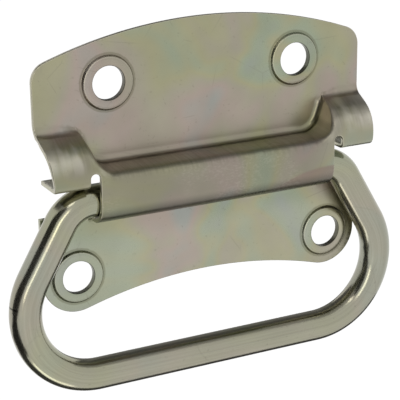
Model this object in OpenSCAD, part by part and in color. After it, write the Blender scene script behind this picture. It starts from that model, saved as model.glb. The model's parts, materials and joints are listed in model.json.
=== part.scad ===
// Chest handle: a stamped steel back plate that traps the two ends of a bent steel-rod bail.
// X runs along the handle, +Y points into the chest wall and +Z is up.
// The origin is midway between the two upper screw holes, on the back of the plate.

/* [Back plate] */
// Thickness of the sheet
sheet = 1.2; // [1:0.05:1.5]
// Overall width of the upper panel
plate_w = 88.9; // [86:0.1:96]
// Height of the crown of the top edge above the upper screws
crown_rise = 13.5; // [12:0.1:18]
// Radius of the curved top edge
top_edge_r = 123; // [90:1:200]
// Radius of the two upper corners
top_corner_r = 5; // [2:0.5:8]
// Radius of the two lobes round the lower screws
lobe_r = 9.1; // [8.4:0.1:9.2]
// Height of the lower screws above the middle of the hollow bottom edge
bottom_edge_drop = 4.1; // [2.5:0.1:6]

/* [Screw holes] */
// Distance between the two upper screws
upper_spacing = 50.8; // [46:0.1:56]
// Distance between the two lower screws
lower_spacing = 69.85; // [66:0.05:74]
// Height of the upper screws above the lower ones
row_gap = 47.25; // [44:0.05:52]
// Diameter of a screw hole
hole_d = 8.3; // [5:0.1:9]
// Diameter of the raised seat round a screw hole, at its foot
seat_d = 13.5; // [12:0.1:15]
// Height of the seat above the panel
seat_rise = 0.75; // [0.4:0.05:1]
// Width of the sloping side of the seat
seat_side = 0.5; // [0.3:0.05:0.8]

/* [Rod channel] */
// Depth of the pivot below the upper screws
pivot_drop = 27; // [26:0.1:28]
// Half length of the channel that wraps the rod
channel_half = 31.9; // [31:0.1:33]
// Clearance between the rod and the inside of the channel
rod_gap = 0.3; // [0.25:0.01:0.4]
// Clearance between the back of the rod and the front of the plate
back_gap = 0.25; // [0.2:0.01:0.6]
// Radius of the bend from the channel down into the lower panel
return_r = 1.5; // [0.8:0.1:2.5]

/* [Ears] */
// Height of the shelf over the channel, above the pivot
shelf_rise = 8; // [7:0.1:9.5]
// Height at which the ears start to rise from the plate, above the pivot
ear_rise = 18.75; // [17.5:0.05:20]
// Radius of the hollow bend at the root of an ear
ear_root_r = 3; // [2:0.1:4]
// Radius of the rounded crown of an ear
ear_crown_r = 9; // [7:0.1:9.2]
// Angle through which the root and the crown of an ear turn
ear_turn = 63; // [50:1:70]
// Clearance between the raised bail and the flange that stops it
stop_gap = 0.45; // [0.3:0.05:1]
// Clearance between the edge of an ear's flange and the wall
flange_gap = 1.5; // [0.5:0.1:3]
// Amount by which each ear narrows on its outer side
ear_taper = 1.15; // [0:0.05:2]
// Half width of the flat upper panel at its lower edge, between the ears
pocket_half = 30.6; // [29:0.1:31]
// Lean of the inner walls of the ears
pocket_lean = 19.5; // [10:0.5:24]
// Radius of the corners where the shelf turns up into the ears
pocket_corner_r = 5; // [4.5:0.1:7]
// Radius of the hollow bend at the foot of the shelf
pocket_root_r = 1.5; // [0.8:0.1:1.8]
// Radius of the bend from the shelf into the front of the channel
pocket_edge_r = 1.8; // [1.6:0.1:2.5]
// Draft of the shelf and of the inner walls of the ears
pocket_draft = 3.5; // [1:0.5:6]
// Width of the slit between an ear and the end of the channel
slit_w = 2.5; // [1.8:0.1:2.8]
// Height of the top of the slit above the pivot
slit_rise = 8.1; // [7.5:0.1:8.2]
// Depth of the square foot of the slit below the bend that ends the channel
slit_drop = 0.2; // [0.1:0.05:0.5]
// Depth of the upper edge of the lower panel's wings below the pivot
wing_drop = 4.2; // [3.5:0.1:5]

/* [Bail] */
// Diameter of the rod
rod_d = 7.94; // [6:0.01:8.2]
// Overall width of the bail
bail_w = 106.6; // [102:0.1:120]
// Height of the pivot above the middle of the grip
grip_drop = 44.8; // [42:0.1:60]
// Radius of the bends beside the channel, on the middle of the rod
upper_bend_r = 9; // [8:0.1:12]
// Radius of the bends at the ends of the grip, on the middle of the rod
lower_bend_r = 18.3; // [15:0.1:20]
// Distance from each end of the channel to the start of the rod's bend
bend_inset = 0.3; // [0:0.1:0.5]
// Play along the pivot that the hanging bail has taken up
bail_drift = -1; // [-1:0.1:1]
// Gap between the two ends of the rod inside the channel
rod_end_gap = 6; // [2:0.5:30]
// Chamfer on the two ends of the rod
rod_end_chamfer = 0.6; // [0.2:0.1:1]

/* [Hidden] */
$fn = 96;
steel_plate = "#a3a28f";
steel_rod = "#b9b8ac";

// Overrun that carries a cut clear of the surface it leaves
clear = 2;
// Depth by which a bend crosses the flat that it runs into, so that the two meet in a clean edge
lead = 0.02;
// Amount by which a curved stretch is fuller than the straight stretches that end inside it
seam = 0.02;
// Length by which a straight stretch runs into the curved one beside it
overlap = 0.2;
// Number of chords in each bend of an ear
ear_steps = 16;
// Number of chords in each bend along the edge of the pocket
pocket_steps = 8;
// Length by which the lower panel runs up behind the bend of the channel
tuck = 1;

pivot_z = -pivot_drop;
rod_r = rod_d / 2;
pivot_out = sheet + back_gap + rod_r;
channel_r = rod_r + rod_gap + sheet;
front_out = pivot_out + channel_r;
return_z = pivot_z - channel_r - return_r;

shelf_z = pivot_z + shelf_rise;
ear_z = pivot_z + ear_rise;
flange_z = pivot_z + rod_r + stop_gap;
slit_z = pivot_z + slit_rise;
wing_z = pivot_z - wing_drop;
ear_in = channel_half + slit_w;

// Ear section: the straight slope between its root and its crown fixes where the crown ends
slope_start_out = sheet + ear_root_r * (1 - cos(ear_turn));
slope_end_out = front_out - ear_crown_r * (1 - cos(ear_turn));
slope_fall = (slope_end_out - slope_start_out) / tan(ear_turn);
crown_z = ear_z - (ear_root_r + ear_crown_r) * sin(ear_turn) - slope_fall;

// Corner centres of the pocket that the flat upper panel lies in
pocket_x = pocket_half - pocket_corner_r * (1 - sin(pocket_lean)) / cos(pocket_lean);
pocket_z = shelf_z + pocket_corner_r;
wall_run = (ear_z + clear - pocket_z) / cos(pocket_lean);

// Pocket wall section: centres of the bends at its foot and at its front edge
foot_bend_s = -pocket_root_r * (1 - sin(pocket_draft)) / cos(pocket_draft);
foot_bend_out = sheet + pocket_root_r;
edge_bend_out = front_out - pocket_edge_r;
edge_bend_s = (edge_bend_out - sheet) * tan(pocket_draft) + pocket_edge_r / cos(pocket_draft);

// Seat section: amount by which its hollow back is smaller than its front
seat_inset = sheet * tan(atan2(seat_rise, seat_side) / 2);

// Outline of the upper panel
half_w = plate_w / 2;
top_arc_z = crown_rise - top_edge_r;
top_corner_x = half_w - top_corner_r;
top_corner_z = top_arc_z + sqrt(pow(top_edge_r - top_corner_r, 2) - pow(top_corner_x, 2));

// Outline of the lower panel: the bottom edge is an arc that touches both lobes
lobe_x = lower_spacing / 2;
bottom_arc_r = (pow(lobe_x, 2) + pow(bottom_edge_drop, 2) - pow(lobe_r, 2)) / (2 * (lobe_r - bottom_edge_drop));
bottom_arc_z = -row_gap - bottom_edge_drop - bottom_arc_r;
lobe_touch = bottom_arc_r / (bottom_arc_r + lobe_r);

// Bail: the arms are the straight lines that touch both of its bends
bend_x = channel_half - bend_inset;
grip_half = bail_w / 2 - rod_r - lower_bend_r;
bend_offset = [grip_half - bend_x, upper_bend_r + lower_bend_r - grip_drop];
arm_turn = atan2(-bend_offset[1], bend_offset[0])
    + asin((upper_bend_r - lower_bend_r) / norm(bend_offset));
arm_start = [bend_x + upper_bend_r * sin(arm_turn), upper_bend_r * (cos(arm_turn) - 1)];
arm_end = [grip_half + lower_bend_r * sin(arm_turn), lower_bend_r * (1 + cos(arm_turn)) - grip_drop];

// Turns a front view drawn in x and z into a solid that runs out from the wall
module out_from_wall(from, to) {
    translate([0, -from, 0])
        rotate([90, 0, 0])
            linear_extrude(to - from)
                children();
}

// Turns a side view drawn in distance from the wall and z into a solid centred along the handle
module along_handle(length) {
    rotate([90, 0, -90])
        linear_extrude(length, center = true)
            children();
}

// Sector of a circle of radius r between two angles less than half a turn apart
module sector(r, from, to) {
    reach = r / cos((to - from) / 2) + clear;
    intersection() {
        circle(r);
        polygon([
            [0, 0],
            reach * [cos(from), sin(from)],
            reach * [cos((from + to) / 2), sin((from + to) / 2)],
            reach * [cos(to), sin(to)]
        ]);
    }
}

// Points along an arc about a centre, between two angles
function arc_points(centre, r, from, to, steps) = [
    for (i = [0:steps])
        let (a = from + (to - from) * i / steps)
            centre + r * [cos(a), sin(a)]
];

// Side view of an ear, filled back to the wall; inset gives the inner face of the sheet
module ear_section(inset) {
    root = [sheet + ear_root_r, ear_z];
    crown = [front_out - ear_crown_r, crown_z];
    polygon(concat(
        [[-clear, ear_z], [-clear, flange_z + inset], [front_out - inset, flange_z + inset]],
        arc_points(crown, ear_crown_r - inset, 0, ear_turn, ear_steps),
        arc_points(root, ear_root_r + inset + lead, 180 + ear_turn, 180, ear_steps)
    ));
}

// Side view of the channel, filled back to the wall and up past the shelf
module channel_section(inset) {
    low_z = pivot_z - channel_r + inset;
    difference() {
        union() {
            polygon([
                [-clear, return_z],
                [sheet - inset, return_z],
                [sheet + return_r, low_z],
                [pivot_out, low_z],
                [pivot_out, pivot_z],
                [front_out - inset, pivot_z],
                [front_out - inset, slit_z],
                [-clear, slit_z]
            ]);
            translate([pivot_out, pivot_z])
                sector(channel_r - inset, -90, 0);
        }
        translate([sheet + return_r, return_z])
            circle(return_r + inset + lead);
    }
}

// Section of the pocket against its wall, in distance past the foot of the wall and distance from the chest
module pocket_section(inset) {
    foot = [foot_bend_s, foot_bend_out];
    edge = [edge_bend_s, edge_bend_out + lead];
    polygon(concat(
        [[-pocket_corner_r, front_out + clear], [-pocket_corner_r, -2 * clear], [foot_bend_s, -2 * clear]],
        arc_points(foot, pocket_root_r + inset + lead, -90, -pocket_draft, pocket_steps),
        arc_points(edge, pocket_edge_r - inset, 180 - pocket_draft, 90, pocket_steps),
        [[edge_bend_s, front_out + clear]]
    ));
}

// One straight stretch of the pocket's wall, which faces along x and runs down past both of its ends
module pocket_wall(length, inset) {
    translate([0, overlap, 0])
        rotate([90, 0, 0])
            linear_extrude(length + 2 * overlap)
                pocket_section(inset);
}

// Space over the flat upper panel, between the shelf and the inner walls of the ears, cut right through
module pocket(inset) {
    lean = [sin(pocket_lean), cos(pocket_lean)];
    normal = [cos(pocket_lean), -sin(pocket_lean)];
    centre = [pocket_x, pocket_z];
    rotate([90, 0, 0]) {
        translate([pocket_x, shelf_z, 0])
            rotate(-90)
                pocket_wall(2 * pocket_x, inset);
        for (side = [0, 1]) mirror([side, 0, 0]) {
            translate(centre)
                rotate(-90)
                    rotate_extrude(angle = 90 - pocket_lean)
                        translate([pocket_corner_r + seam, 0])
                            pocket_section(inset);
            translate(centre + pocket_corner_r * normal + wall_run * lean)
                rotate(-pocket_lean)
                    pocket_wall(wall_run, inset);
        }
        translate([0, 0, -2 * clear])
            linear_extrude(front_out + 3 * clear)
                polygon([
                    [-pocket_x, pocket_z - clear],
                    [pocket_x, pocket_z - clear],
                    centre + clear * normal,
                    centre + clear * normal + wall_run * lean,
                    [-pocket_x - clear * normal[0] - wall_run * lean[0],
                        pocket_z + clear * normal[1] + wall_run * lean[1]],
                    [-pocket_x - clear * normal[0], pocket_z + clear * normal[1]]
                ]);
    }
}

// The ears and the channel as a solid filled back to the wall
module raised_form(inset) {
    difference() {
        union() {
            along_handle(plate_w + 2 * inset)
                ear_section(inset);
            along_handle(2 * channel_half + inset)
                channel_section(inset);
        }
        pocket(inset);
    }
}

// Front view of the upper panel and the ears
module upper_outline() {
    touch = [top_corner_x, top_corner_z - top_arc_z] * (top_edge_r + clear) / (top_edge_r - top_corner_r);
    polygon([
        [-half_w, top_corner_z],
        [-half_w, ear_z],
        [-half_w + ear_taper, flange_z],
        [half_w - ear_taper, flange_z],
        [half_w, ear_z],
        [half_w, top_corner_z]
    ]);
    for (side = [-1, 1])
        translate([side * top_corner_x, top_corner_z])
            circle(top_corner_r);
    translate([0, top_arc_z])
        intersection() {
            circle(top_edge_r, $fn = 4 * $fn);
            polygon([
                [-top_corner_x, top_corner_z - top_arc_z],
                [top_corner_x, top_corner_z - top_arc_z],
                touch,
                [0, top_edge_r + clear],
                [-touch[0], touch[1]]
            ]);
        }
}

// Front view of the lower panel with its two wings and lobes
module lower_outline() {
    side_x = lobe_x + lobe_r;
    touch = [lobe_x, -row_gap - bottom_arc_z] * lobe_touch;
    difference() {
        union() {
            translate([-side_x, -row_gap])
                square([2 * side_x, row_gap + wing_z]);
            translate([-touch[0], bottom_arc_z + touch[1]])
                square([2 * touch[0], -row_gap + overlap - bottom_arc_z - touch[1]]);
            for (side = [-1, 1])
                translate([side * lobe_x, -row_gap])
                    circle(lobe_r);
        }
        translate([0, bottom_arc_z])
            circle(bottom_arc_r, $fn = 4 * $fn);
        for (x = [-ear_in, channel_half])
            translate([x, return_z - slit_drop])
                square([slit_w, wing_z + clear - return_z + slit_drop]);
        translate([-channel_half - overlap, return_z + tuck])
            square([2 * (channel_half + overlap), wing_z + clear - return_z - tuck]);
    }
}

// Slit that frees an ear from the end of the channel, with a round top
module slit() {
    out_from_wall(-clear, front_out + clear) {
        translate([channel_half, flange_z - clear])
            square([slit_w, slit_z - slit_w / 2 - flange_z + clear]);
        translate([channel_half + slit_w / 2, slit_z - slit_w / 2])
            circle(slit_w / 2);
    }
}

// Takes a shape built up from the wall to the place of a screw
module at_screw(x, z) {
    translate([x, 0, z])
        rotate([90, 0, 0])
            children();
}

// Raised seat round a screw, which starts a little inside the sheet
module seat() {
    translate([0, 0, sheet - overlap])
        cylinder(
            d1 = seat_d + 2 * overlap * seat_side / seat_rise,
            d2 = seat_d - 2 * seat_side,
            h = seat_rise + overlap
        );
}

// Screw hole and the hollow behind its seat
module screw_hole() {
    back_d = seat_d - 2 * seat_inset;
    translate([0, 0, -clear])
        cylinder(d = hole_d, h = sheet + seat_rise + 2 * clear);
    translate([0, 0, -clear])
        cylinder(
            d1 = back_d + 2 * clear * seat_side / seat_rise,
            d2 = back_d - 2 * seat_side,
            h = seat_rise + clear
        );
}

// Places a shape at each of the four screws
module at_each_screw() {
    for (side = [-1, 1]) {
        at_screw(side * upper_spacing / 2, 0)
            children();
        at_screw(side * lower_spacing / 2, -row_gap)
            children();
    }
}

// Cut that keeps the edge of an ear's flange clear of the wall
module flange_trim() {
    out_from_wall(-clear, flange_gap)
        translate([channel_half + slit_w / 2, flange_z - clear])
            square([half_w, sheet + 2 * clear]);
}

// The one-piece plate, pressed from sheet
module back_plate() {
    color(steel_plate)
        difference() {
            union() {
                intersection() {
                    raised_form(0);
                    out_from_wall(0, front_out + clear) {
                        upper_outline();
                        translate([-channel_half, return_z])
                            square([2 * channel_half, slit_z - return_z]);
                    }
                }
                out_from_wall(0, sheet) {
                    upper_outline();
                    lower_outline();
                }
                at_each_screw()
                    seat();
            }
            raised_form(sheet);
            for (side = [0, 1])
                mirror([side, 0, 0]) {
                    slit();
                    flange_trim();
                }
            at_each_screw()
                screw_hole();
        }
}

// Straight length of rod along x, which runs into the bend at its far end
module rod(length) {
    rotate([0, 90, 0])
        cylinder(r = rod_r, h = length);
}

// Bend of the rod about the middle of its curve
module rod_bend(r, from, to) {
    rotate(from)
        rotate_extrude(angle = to - from)
            translate([r, 0])
                circle(rod_r + seam);
}

// One half of the bail, in the plane that it hangs in
module bail_half() {
    translate([rod_end_gap / 2, 0, 0])
        rotate([0, 90, 0])
            cylinder(r1 = rod_r - rod_end_chamfer, r2 = rod_r, h = rod_end_chamfer);
    translate([rod_end_gap / 2 + rod_end_chamfer, 0, 0])
        rod(bend_x + overlap - rod_end_gap / 2 - rod_end_chamfer);
    translate([bend_x, -upper_bend_r, 0])
        rod_bend(upper_bend_r, 90 - arm_turn, 90);
    translate(arm_start)
        rotate(-arm_turn)
            translate([-overlap, 0, 0])
                rod(norm(arm_end - arm_start) + 2 * overlap);
    translate([grip_half, lower_bend_r - grip_drop, 0])
        rod_bend(lower_bend_r, -90, 90 - arm_turn);
    translate([-overlap, -grip_drop, 0])
        rod(grip_half + 2 * overlap);
}

// The bail, bent from one rod, hanging from its pivot
module bail() {
    color(steel_rod)
        translate([bail_drift, -pivot_out, pivot_z])
            rotate([90, 0, 0])
                for (side = [0, 1])
                    mirror([side, 0, 0])
                        bail_half();
}

back_plate();
bail();
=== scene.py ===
"""Chest handle: a pressed steel back plate that traps the two ends of a bent steel-rod bail.

X runs along the handle, +Y points into the chest wall and +Z is up. Sizes are in millimetres until a
piece is put into its mesh, and "out" is the distance from the chest wall, so y is minus out. Materials
read the finished meshes, so the places of their marks are in metres.
"""
import json
import bpy
import numpy as np
from mathutils import Matrix
from mathutils.geometry import delaunay_2d_cdt


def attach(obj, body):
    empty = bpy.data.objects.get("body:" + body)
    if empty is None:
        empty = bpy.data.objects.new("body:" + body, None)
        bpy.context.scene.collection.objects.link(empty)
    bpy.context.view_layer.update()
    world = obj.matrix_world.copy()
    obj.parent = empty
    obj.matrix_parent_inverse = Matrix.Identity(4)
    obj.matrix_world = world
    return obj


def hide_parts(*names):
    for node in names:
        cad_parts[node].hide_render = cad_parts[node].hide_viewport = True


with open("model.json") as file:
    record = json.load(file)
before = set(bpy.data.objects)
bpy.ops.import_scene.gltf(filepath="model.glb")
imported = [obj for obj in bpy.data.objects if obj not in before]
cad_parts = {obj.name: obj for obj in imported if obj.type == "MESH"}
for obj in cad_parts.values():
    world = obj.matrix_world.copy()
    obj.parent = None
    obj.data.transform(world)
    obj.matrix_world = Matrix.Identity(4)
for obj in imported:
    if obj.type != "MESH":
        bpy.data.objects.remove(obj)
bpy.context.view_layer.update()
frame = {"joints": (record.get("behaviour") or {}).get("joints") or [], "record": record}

# The back plate is one stamping of 1.2 mm sheet steel, blanked, pierced and pressed in a die.
# Its two ears stand clear of the wall, its middle is rolled into a channel round the rod's ends,
# and four raised seats take the screws that hold it to the chest.
MM = 0.001
sheet = 1.2
half_w = 44.45
crown_rise = 13.499
top_edge_r = 123.0
top_corner_r = 5.0
lobe_r = 9.1
bottom_edge_drop = 4.1
cut_r = 0.2

# Screw holes and the raised seats round them
mounts = {m["name"]: m for m in frame["record"]["mounts"]}
upper_x = mounts["upper_screws"]["dims"]["spacing_x_mm"] / 2
lobe_x = mounts["lower_screws"]["dims"]["spacing_x_mm"] / 2
lower_z = mounts["lower_screws"]["pos_m"][2] / MM
hole_r = mounts["upper_screws"]["dims"]["hole_r_mm"]
screws = np.array([(-upper_x, 0), (upper_x, 0), (-lobe_x, lower_z), (lobe_x, lower_z)])
seat_rise = 0.75
seat_foot_r = 6.8
seat_hollow_r = 6.16
seat_slope = 0.6
seat_crown = 0.2
hole_lip = 0.6
hole_lip_r = 4.8
hole_lip_slope = 0.4

# Channel rolled round the rod, and the slits that free it from the ears
rod_r = 3.97
rod_gap = 0.3
channel_half = 31.9
return_r = 1.5
slit_w = 2.5
slit_rise = 8.1
slit_foot_rise = 1.0
wing_drop = 4.2

# Ears and their turned-in flanges
ear_rise = 18.75
ear_root_r = 3.0
ear_crown_r = 9.0
ear_turn = np.radians(63)
ear_taper = 1.15
corner_drop = 2.0
corner_reach = 4.5
flat_over_slit = 1.2
flat_ease_x = 3.0
flat_ease_z = 2.0
flange_bend_r = 1.7
flange_rise = 4.42
flange_gap = 1.5

# Pocket that leaves the upper panel flat, with a wall along the shelf and up both ears
shelf_rise = 8.0
pocket_half = 30.6
pocket_lean = np.radians(19.5)
pocket_draft = np.radians(3.5)
pocket_corner_r = 5.0
pocket_root_r = 1.5
shelf_ridge_r = 2.6
ear_ridge_r = 1.8

# Places that follow from these
_, pivot_y, pivot_z = (v / MM for v in frame["joints"][0]["pos_m"])
pivot_out = -pivot_y
channel_r = rod_r + rod_gap + sheet
front_out = pivot_out + channel_r
return_z = pivot_z - channel_r - return_r
shelf_z = pivot_z + shelf_rise
ear_z = pivot_z + ear_rise
flange_z = pivot_z + flange_rise
slit_top = pivot_z + slit_rise
slit_arc_z = slit_top - slit_w / 2
slit_mid = channel_half + slit_w / 2
ear_in = channel_half + slit_w
slope_start_out = sheet + ear_root_r * (1 - np.cos(ear_turn))
slope_end_out = front_out - ear_crown_r * (1 - np.cos(ear_turn))
slope_top_z = ear_z - ear_root_r * np.sin(ear_turn)
slope_low_z = slope_top_z - (slope_end_out - slope_start_out) / np.tan(ear_turn)
crown_z = slope_low_z - ear_crown_r * np.sin(ear_turn)

# Lengths and runs along the sheet, round the channel and round an ear's flange
channel_arc = channel_r * np.pi / 2
channel_flat = pivot_out - sheet - return_r
return_arc = return_r * np.pi / 2
return_run = pivot_z - channel_arc - channel_flat - return_arc
slit_foot_run = return_run + slit_foot_rise
flange_start = flange_z + flange_bend_r
flange_arc = flange_bend_r * np.pi / 2
flange_end = flange_start - flange_arc - (front_out - flange_bend_r - flange_gap)
lower_shift = return_z - return_run
wing_run = pivot_z - wing_drop - lower_shift
lobe_run = lower_z - lower_shift
split_run = (flange_end + wing_run) / 2


def smooth(t):
    """Smooth step: 3t squared less 2t cubed, held at 0 below 0 and at 1 above 1."""
    t = np.clip(t, 0, 1)
    return t * t * (3 - 2 * t)


def ear_out(z):
    """Side view of an ear: a hollow arc off the flat sheet, a straight slope and a crown arc."""
    root = sheet + ear_root_r - np.sqrt(np.maximum(ear_root_r**2 - (ear_z - z) ** 2, 0))
    slope = slope_start_out + (slope_top_z - z) * np.tan(ear_turn)
    crown = front_out - ear_crown_r + np.sqrt(np.maximum(ear_crown_r**2 - (z - crown_z) ** 2, 0))
    return np.select([z >= ear_z, z >= slope_top_z, z >= slope_low_z, z >= crown_z],
                     [sheet + 0 * z, root, slope, crown], front_out)


def past_wall(x, z):
    """How far x lies beyond the foot of the ear's inner wall, which leans outward as it goes up."""
    return np.abs(x) - pocket_half - (z - shelf_z) * np.tan(pocket_lean)


def raised_out(x, z):
    """The ears' side view carried across the plate.

    Each ear's upper inner corner is rounded off by reading the side view from higher up there, and the
    front is eased flat above the slits.
    """
    near_wall = smooth(1 - past_wall(x, z) / corner_reach)
    on_slope = smooth((z - slope_low_z) / corner_reach)
    ear = ear_out(z + corner_drop * near_wall * on_slope)
    flat_x = smooth((ear_in - np.abs(x)) / flat_ease_x)
    flat_z = smooth((slit_top + flat_over_slit - z) / flat_ease_z)
    return ear + flat_x * flat_z * (front_out - ear)


def formed(x, w):
    """Place on the pressed sheet of a point at x and at run w down the sheet, as (x, -out, z).

    The run is plain height on the upper panel and the ears. Past the channel's front it is arc length
    round the rod, back to the wall and down the lower panel; past an ear's front it is arc length
    round the flange bend and back along the flange.
    """
    middle = np.abs(x) < slit_mid
    in_pocket = np.maximum(shelf_z - w, past_wall(x, w)) < 0
    out = np.where(in_pocket, sheet, raised_out(x, w))
    z = w + 0.0

    past_pivot = pivot_z - w
    turn = np.clip(past_pivot / channel_r, 0, np.pi / 2)
    back = np.clip(past_pivot - channel_arc, 0, channel_flat)
    fold = np.clip((past_pivot - channel_arc - channel_flat) / return_r, 0, np.pi / 2)
    down = np.maximum(past_pivot - channel_arc - channel_flat - return_arc, 0)
    rolled = middle & (past_pivot > 0)
    rolled_out = pivot_out + channel_r * np.cos(turn) - back - return_r * np.sin(fold)
    rolled_z = pivot_z - channel_r * np.sin(turn) - return_r * (1 - np.cos(fold)) - down
    out = np.where(rolled, rolled_out, out)
    z = np.where(rolled, rolled_z, z)

    past_bend = flange_start - w
    bend = np.clip(past_bend / flange_bend_r, 0, np.pi / 2)
    flange = ~middle & (past_bend > 0)
    flange_out = front_out - flange_bend_r * (1 - np.cos(bend)) - np.maximum(past_bend - flange_arc, 0)
    out = np.where(flange, flange_out, out)
    z = np.where(flange, flange_start - flange_bend_r * np.sin(bend), z)

    wing = ~middle & (w < split_run)
    out = np.where(wing, sheet, out)
    z = np.where(wing, w + lower_shift, z)
    return np.stack([x + 0 * w, -out, z], -1)


def line(start, end, step):
    """Points from start up to but not at end, at most a step apart."""
    start, end = np.asarray(start, float), np.asarray(end, float)
    count = max(1, int(np.ceil(np.linalg.norm(end - start) / step)))
    return start + (end - start) * (np.arange(count) / count)[:, None]


def arc(centre, r, a0, a1, step):
    """Points round a centre from angle a0 up to but not at a1, at most a step apart."""
    count = max(2, int(np.ceil(abs(a1 - a0) * r / step)))
    a = a0 + (a1 - a0) * np.arange(count) / count
    return np.asarray(centre) + r * np.stack([np.cos(a), np.sin(a)], -1)


# Greatest spacing of points along the blank's edge and the pocket's wall
long_step = 1.4
shelf_step = 1.3
end_step = 1.0
lobe_step = 0.6
corner_step = 0.5
bend_step = 0.45
slit_step = 0.25


def blank_outline():
    """Edge of the flat blank in x and run, anticlockwise, with the right half worked out and mirrored.

    It goes from the crown of the top edge down the right side, round the ear and its flange, into the
    slit, down the channel's end, round the wing and the lobe and along the hollow bottom edge.
    """
    top_arc_z = crown_rise - top_edge_r
    corner_x = half_w - top_corner_r
    corner_z = top_arc_z + np.sqrt((top_edge_r - top_corner_r) ** 2 - corner_x**2)
    corner_a = np.arctan2(corner_z - top_arc_z, corner_x)
    ear_w = line((0, ear_z), (0, flange_end), bend_step)[:, 1]
    ear_drop = ear_z - formed(half_w + 0 * ear_w, ear_w)[:, 2]
    taper = ear_taper * np.clip(ear_drop / (ear_z - flange_z), 0, 1)
    side_x = lobe_x + lobe_r
    bottom_r = (lobe_x**2 + bottom_edge_drop**2 - lobe_r**2) / (2 * (lobe_r - bottom_edge_drop))
    bottom_w = lobe_run - bottom_edge_drop - bottom_r
    touch_a = np.arctan2(lobe_run - bottom_w, lobe_x)
    half = np.concatenate([
        arc((0, top_arc_z), top_edge_r, np.pi / 2, corner_a, long_step),
        arc((corner_x, corner_z), top_corner_r, corner_a, 0, corner_step),
        line((half_w, corner_z), (half_w, ear_z), long_step),
        np.stack([half_w - taper, ear_w], -1),
        line((half_w - ear_taper, flange_end), (ear_in, flange_end), end_step),
        line((ear_in, flange_end), (ear_in, slit_arc_z), bend_step),
        arc((slit_mid, slit_arc_z), slit_w / 2, 0, np.pi, slit_step),
        line((channel_half, slit_arc_z), (channel_half, slit_foot_run), bend_step),
        line((channel_half, slit_foot_run), (ear_in, slit_foot_run), bend_step),
        line((ear_in, slit_foot_run), (ear_in, wing_run), lobe_step),
        line((ear_in, wing_run), (side_x, wing_run), end_step),
        line((side_x, wing_run), (side_x, lobe_run), long_step),
        arc((lobe_x, lobe_run), lobe_r, 0, touch_a - np.pi, lobe_step),
        arc((0, bottom_w), bottom_r, touch_a, np.pi / 2, long_step),
        [[0, lobe_run - bottom_edge_drop]],
    ])
    left = half[1:-1][::-1] * [-1, 1]
    return np.concatenate([half, left])[::-1]


def shrunk(loop, amount):
    """A loop with the material on its left, moved into the material along the bisector of each corner."""
    sharpest = 0.5
    ahead = np.roll(loop, -1, 0) - loop
    ahead /= np.linalg.norm(ahead, axis=1)[:, None]
    normal = np.stack([-ahead[:, 1], ahead[:, 0]], -1)
    both = normal + np.roll(normal, 1, 0)
    return loop + 2 * amount * both / np.maximum((both**2).sum(1), sharpest)[:, None]


def inside(points, loop):
    """True for points inside a loop: an odd number of its edges is crossed on the way to the right."""
    px, py = points[:, :1], points[:, 1:]
    a, b = loop, np.roll(loop, -1, 0)
    spans = (a[:, 1] > py) != (b[:, 1] > py)
    rise = np.where(b[:, 1] == a[:, 1], 1, b[:, 1] - a[:, 1])
    return (spans & (px < a[:, 0] + (py - a[:, 1]) / rise * (b[:, 0] - a[:, 0]))).sum(1) % 2 == 1


def pocket_path():
    """Foot of the pocket's wall in x and z, with its outward direction at each point.

    It goes down the left ear, along the shelf and up the right ear, through two rounded corners.
    """
    reach = np.tan(np.pi / 4 - pocket_lean / 2) * pocket_corner_r
    centre = np.array([pocket_half - reach, shelf_z + pocket_corner_r])
    out_a = -pocket_lean
    wall_start = centre + pocket_corner_r * np.array([np.cos(out_a), np.sin(out_a)])
    wall_end = wall_start + (ear_z - wall_start[1]) * np.array([np.tan(pocket_lean), 1])
    shelf = line((0, shelf_z), (centre[0], shelf_z), shelf_step)
    corner = arc(centre, pocket_corner_r, -np.pi / 2, out_a, corner_step)
    wall = np.concatenate([line(wall_start, wall_end, corner_step), [wall_end]])
    angle = np.concatenate([np.full(len(shelf), -np.pi / 2),
                            np.arctan2(*(corner - centre).T[::-1]),
                            np.full(len(wall), out_a)])
    path = np.concatenate([shelf, corner, wall])
    away = np.stack([np.cos(angle), np.sin(angle)], -1)
    flip = np.array([-1, 1])
    return np.concatenate([path[:0:-1] * flip, path]), np.concatenate([away[:0:-1] * flip, away])


def off_slit(points):
    """Distance of points, all below the upper screws, from the round top of the slit on their side."""
    return np.linalg.norm(np.abs(points) * [1, -1] - [slit_mid, slit_arc_z], axis=1) - slit_w / 2


# Limits that keep the pocket wall's profile sound where it runs out and beside the slits
shelf_facing = 0.4
shelf_easing = 0.5
ridge_off_slit = 1.1
least_ridge_r = 0.6
least_height = 2.2
least_shrink = 0.3
arc_share = 0.42
contact_passes = 8
contact_probe = 0.05
foot_points = 8
wall_points = 9
floor_lead = np.array([0.9, 0.4])
trail_share = np.array([0.25, 0.6, 1.0])
trail_of_gap = 0.7
shortest_trail = 0.06
longest_trail = 1.2


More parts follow.
